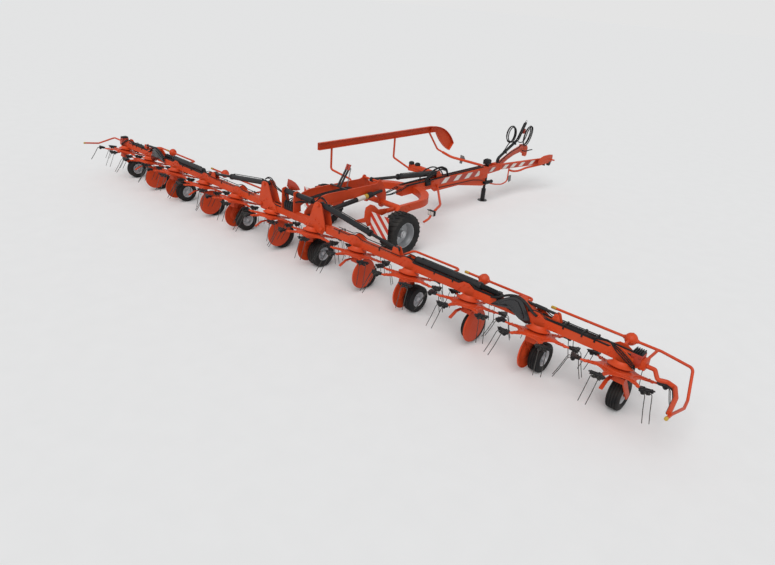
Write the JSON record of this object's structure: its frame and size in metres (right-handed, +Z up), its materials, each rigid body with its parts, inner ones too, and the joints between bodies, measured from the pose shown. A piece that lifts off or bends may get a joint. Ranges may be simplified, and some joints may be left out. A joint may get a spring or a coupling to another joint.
{
  "type": "trailed rotary hay tedder",
  "caption": "Trailed hay tedder in working position: folding rotor row on gauge wheels, two road wheels, long drawbar with stand and hose post.",
  "frame": {"origin": "on the ground under the middle of the machine's outline", "axes": "+X to the machine's right along the rotor row, +Y forward along the drawbar, +Z up"},
  "size_m": [13.2, 8.7801, 1.6992],
  "materials": {
    "orange_paint": "satin",
    "red_paint": "satin",
    "black_paint": "satin",
    "tyre_rubber": "matte",
    "polished_rod": "polished",
    "board_white": "satin"
  },
  "bodies": {
    "chassis": {"drawbar": "orange_paint", "axle_frame": "orange_paint", "guard_rail": "orange_paint", "stand_sleeve": "orange_paint", "hose_holder": "black_paint", "marker_boards": "board_white"},
    "row": {"row_frame": "orange_paint", "row_drive": "black_paint", "row_legs": "red_paint"},
    "wing_right": {"wing_beam_right": "orange_paint", "wing_drive_right": "black_paint", "wing_legs_right": "red_paint", "wing_guard_right": "orange_paint"},
    "outer_right": {"outer_beam_right": "orange_paint", "outer_drive_right": "black_paint", "outer_legs_right": "red_paint", "outer_guard_right": "orange_paint"},
    "wing_left": {"wing_beam_left": "orange_paint", "wing_drive_left": "black_paint", "wing_legs_left": "red_paint", "wing_guard_left": "orange_paint"},
    "outer_left": {"outer_beam_left": "orange_paint", "outer_drive_left": "black_paint", "outer_legs_left": "red_paint", "outer_guard_left": "orange_paint"},
    "rotor_01": {"rotor_01": "orange_paint"},
    "rotor_02": {"rotor_02": "orange_paint"},
    "rotor_03": {"rotor_03": "orange_paint"},
    "rotor_04": {"rotor_04": "orange_paint"},
    "rotor_05": {"rotor_05": "orange_paint"},
    "rotor_06": {"rotor_06": "orange_paint"},
    "rotor_07": {"rotor_07": "orange_paint"},
    "rotor_08": {"rotor_08": "orange_paint"},
    "rotor_09": {"rotor_09": "orange_paint"},
    "rotor_10": {"rotor_10": "orange_paint"},
    "rotor_11": {"rotor_11": "orange_paint"},
    "rotor_12": {"rotor_12": "orange_paint"},
    "gauge_wheel_01": {"gauge_wheel_01": "tyre_rubber"},
    "gauge_wheel_02": {"gauge_wheel_02": "tyre_rubber"},
    "gauge_wheel_03": {"gauge_wheel_03": "tyre_rubber"},
    "gauge_wheel_04": {"gauge_wheel_04": "tyre_rubber"},
    "gauge_wheel_05": {"gauge_wheel_05": "tyre_rubber"},
    "gauge_wheel_06": {"gauge_wheel_06": "tyre_rubber"},
    "gauge_wheel_07": {"gauge_wheel_07": "tyre_rubber"},
    "gauge_wheel_08": {"gauge_wheel_08": "tyre_rubber"},
    "gauge_wheel_09": {"gauge_wheel_09": "tyre_rubber"},
    "gauge_wheel_10": {"gauge_wheel_10": "tyre_rubber"},
    "gauge_wheel_11": {"gauge_wheel_11": "tyre_rubber"},
    "gauge_wheel_12": {"gauge_wheel_12": "tyre_rubber"},
    "road_wheel_right": {"road_wheel_right": "tyre_rubber"},
    "road_wheel_left": {"road_wheel_left": "tyre_rubber"},
    "stand": {"stand_leg": "black_paint"},
    "wing_lift_barrel_right": {"wing_lift_barrel_right": "black_paint"},
    "wing_lift_rod_right": {"wing_lift_rod_right": "polished_rod"},
    "wing_lift_barrel_left": {"wing_lift_barrel_left": "black_paint"},
    "wing_lift_rod_left": {"wing_lift_rod_left": "polished_rod"},
    "row_lift_barrel": {"row_lift_barrel": "black_paint"},
    "row_lift_rod": {"row_lift_rod": "polished_rod"}
  },
  "joints": [
    {"name": "row_lift", "type": "hinge", "parent": "chassis", "child": "row", "pos_m": [0, -1.64, 0.7], "axis": [-1, 0, 0], "range_deg": [0, 76]},
    {"name": "wing_fold_right", "type": "hinge", "parent": "row", "child": "wing_right", "pos_m": [0.8, -3.59, 0.78], "axis": [0, -1, 0], "range_deg": [-4, 75]},
    {"name": "outer_fold_right", "type": "hinge", "parent": "wing_right", "child": "outer_right", "pos_m": [4.44, -3.59, 0.945], "axis": [0, -1, 0], "range_deg": [-4, 180]},
    {"name": "wing_fold_left", "type": "hinge", "parent": "row", "child": "wing_left", "pos_m": [-0.8, -3.59, 0.78], "axis": [0, 1, 0], "range_deg": [-4, 75]},
    {"name": "outer_fold_left", "type": "hinge", "parent": "wing_left", "child": "outer_left", "pos_m": [-4.44, -3.59, 0.945], "axis": [0, 1, 0], "range_deg": [-4, 180]},
    {"name": "rotor_turn_01", "type": "hinge", "parent": "outer_right", "child": "rotor_01", "pos_m": [5.83, -3.666, 0.617], "axis": [0, 0.2385, 0.9711], "continuous": true},
    {"name": "rotor_turn_02", "type": "hinge", "parent": "outer_right", "child": "rotor_02", "pos_m": [4.77, -3.666, 0.617], "axis": [0, 0.2385, 0.9711], "continuous": true},
    {"name": "rotor_turn_03", "type": "hinge", "parent": "wing_right", "child": "rotor_03", "pos_m": [3.71, -3.666, 0.617], "axis": [0, 0.2385, 0.9711], "continuous": true},
    {"name": "rotor_turn_04", "type": "hinge", "parent": "wing_right", "child": "rotor_04", "pos_m": [2.65, -3.666, 0.617], "axis": [0, 0.2385, 0.9711], "continuous": true},
    {"name": "rotor_turn_05", "type": "hinge", "parent": "wing_right", "child": "rotor_05", "pos_m": [1.59, -3.666, 0.617], "axis": [0, 0.2385, 0.9711], "continuous": true},
    {"name": "rotor_turn_06", "type": "hinge", "parent": "row", "child": "rotor_06", "pos_m": [0.53, -3.666, 0.617], "axis": [0, 0.2385, 0.9711], "continuous": true},
    {"name": "rotor_turn_07", "type": "hinge", "parent": "row", "child": "rotor_07", "pos_m": [-0.53, -3.666, 0.617], "axis": [0, 0.2385, 0.9711], "continuous": true},
    {"name": "rotor_turn_08", "type": "hinge", "parent": "wing_left", "child": "rotor_08", "pos_m": [-1.59, -3.666, 0.617], "axis": [0, 0.2385, 0.9711], "continuous": true},
    {"name": "rotor_turn_09", "type": "hinge", "parent": "wing_left", "child": "rotor_09", "pos_m": [-2.65, -3.666, 0.617], "axis": [0, 0.2385, 0.9711], "continuous": true},
    {"name": "rotor_turn_10", "type": "hinge", "parent": "wing_left", "child": "rotor_10", "pos_m": [-3.71, -3.666, 0.617], "axis": [0, 0.2385, 0.9711], "continuous": true},
    {"name": "rotor_turn_11", "type": "hinge", "parent": "outer_left", "child": "rotor_11", "pos_m": [-4.77, -3.666, 0.617], "axis": [0, 0.2385, 0.9711], "continuous": true},
    {"name": "rotor_turn_12", "type": "hinge", "parent": "outer_left", "child": "rotor_12", "pos_m": [-5.83, -3.666, 0.617], "axis": [0, 0.2385, 0.9711], "continuous": true},
    {"name": "gauge_roll_01", "type": "hinge", "parent": "outer_right", "child": "gauge_wheel_01", "pos_m": [5.83, -3.44, 0.203], "axis": [1, 0, 0], "continuous": true},
    {"name": "gauge_roll_02", "type": "hinge", "parent": "outer_right", "child": "gauge_wheel_02", "pos_m": [4.77, -3.44, 0.203], "axis": [1, 0, 0], "continuous": true},
    {"name": "gauge_roll_03", "type": "hinge", "parent": "wing_right", "child": "gauge_wheel_03", "pos_m": [3.71, -3.44, 0.203], "axis": [1, 0, 0], "continuous": true},
    {"name": "gauge_roll_04", "type": "hinge", "parent": "wing_right", "child": "gauge_wheel_04", "pos_m": [2.65, -3.44, 0.203], "axis": [1, 0, 0], "continuous": true},
    {"name": "gauge_roll_05", "type": "hinge", "parent": "wing_right", "child": "gauge_wheel_05", "pos_m": [1.59, -3.44, 0.203], "axis": [1, 0, 0], "continuous": true},
    {"name": "gauge_roll_06", "type": "hinge", "parent": "row", "child": "gauge_wheel_06", "pos_m": [0.53, -3.44, 0.2285], "axis": [1, 0, 0], "continuous": true},
    {"name": "gauge_roll_07", "type": "hinge", "parent": "row", "child": "gauge_wheel_07", "pos_m": [-0.53, -3.44, 0.2285], "axis": [1, 0, 0], "continuous": true},
    {"name": "gauge_roll_08", "type": "hinge", "parent": "wing_left", "child": "gauge_wheel_08", "pos_m": [-1.59, -3.44, 0.203], "axis": [1, 0, 0], "continuous": true},
    {"name": "gauge_roll_09", "type": "hinge", "parent": "wing_left", "child": "gauge_wheel_09", "pos_m": [-2.65, -3.44, 0.203], "axis": [1, 0, 0], "continuous": true},
    {"name": "gauge_roll_10", "type": "hinge", "parent": "wing_left", "child": "gauge_wheel_10", "pos_m": [-3.71, -3.44, 0.203], "axis": [1, 0, 0], "continuous": true},
    {"name": "gauge_roll_11", "type": "hinge", "parent": "outer_left", "child": "gauge_wheel_11", "pos_m": [-4.77, -3.44, 0.203], "axis": [1, 0, 0], "continuous": true},
    {"name": "gauge_roll_12", "type": "hinge", "parent": "outer_left", "child": "gauge_wheel_12", "pos_m": [-5.83, -3.44, 0.203], "axis": [1, 0, 0], "continuous": true},
    {"name": "road_roll_right", "type": "hinge", "parent": "chassis", "child": "road_wheel_right", "pos_m": [1, -1.98, 0.39], "axis": [1, 0, 0], "continuous": true},
    {"name": "road_roll_left", "type": "hinge", "parent": "chassis", "child": "road_wheel_left", "pos_m": [-1, -1.98, 0.39], "axis": [1, 0, 0], "continuous": true},
    {"name": "stand_lift", "type": "slide", "parent": "chassis", "child": "stand", "axis": [0, 0, 1], "range_m": [0, 0.35]},
    {"name": "wing_barrel_swing_right", "type": "hinge", "parent": "row", "child": "wing_lift_barrel_right", "pos_m": [0.7, -3.59, 1.15], "axis": [0, -1, 0], "range_deg": [-4.8, 81.07]},
    {"name": "wing_rod_slide_right", "type": "slide", "parent": "wing_lift_barrel_right", "child": "wing_lift_rod_right", "axis": [0.9907, 0, -0.1359], "range_m": [-0.4479, 0.0258]},
    {"name": "wing_barrel_swing_left", "type": "hinge", "parent": "row", "child": "wing_lift_barrel_left", "pos_m": [-0.7, -3.59, 1.15], "axis": [0, 1, 0], "range_deg": [-4.8, 81.07]},
    {"name": "wing_rod_slide_left", "type": "slide", "parent": "wing_lift_barrel_left", "child": "wing_lift_rod_left", "axis": [-0.9907, 0, -0.1359], "range_m": [-0.4479, 0.0258]},
    {"name": "row_barrel_swing", "type": "hinge", "parent": "chassis", "child": "row_lift_barrel", "pos_m": [0, 0.22, 0.93], "axis": [-1, 0, 0], "range_deg": [-6.84, 0.5]},
    {"name": "row_rod_slide", "type": "slide", "parent": "row_lift_barrel", "child": "row_lift_rod", "axis": [0, -0.9963, 0.0864], "range_m": [-0.4728, 0.002]}
  ],
  "couplings": [
    {"joint": "rotor_turn_02", "follows": "rotor_turn_01", "ratio": -1},
    {"joint": "rotor_turn_03", "follows": "rotor_turn_01", "ratio": 1},
    {"joint": "rotor_turn_04", "follows": "rotor_turn_01", "ratio": -1},
    {"joint": "rotor_turn_05", "follows": "rotor_turn_01", "ratio": 1},
    {"joint": "rotor_turn_06", "follows": "rotor_turn_01", "ratio": -1},
    {"joint": "rotor_turn_07", "follows": "rotor_turn_01", "ratio": 1},
    {"joint": "rotor_turn_08", "follows": "rotor_turn_01", "ratio": -1},
    {"joint": "rotor_turn_09", "follows": "rotor_turn_01", "ratio": 1},
    {"joint": "rotor_turn_10", "follows": "rotor_turn_01", "ratio": -1},
    {"joint": "rotor_turn_11", "follows": "rotor_turn_01", "ratio": 1},
    {"joint": "rotor_turn_12", "follows": "rotor_turn_01", "ratio": -1},
    {"joint": "wing_barrel_swing_right", "follows": "wing_fold_right", "ratio": 1.0742},
    {"joint": "wing_rod_slide_right", "follows": "wing_fold_right", "m_per_rad": -0.34068},
    {"joint": "wing_barrel_swing_left", "follows": "wing_fold_left", "ratio": 1.0742},
    {"joint": "wing_rod_slide_left", "follows": "wing_fold_left", "m_per_rad": -0.34068},
    {"joint": "row_barrel_swing", "follows": "row_lift", "ratio": -0.08346},
    {"joint": "row_rod_slide", "follows": "row_lift", "m_per_rad": -0.35497}
  ]
}
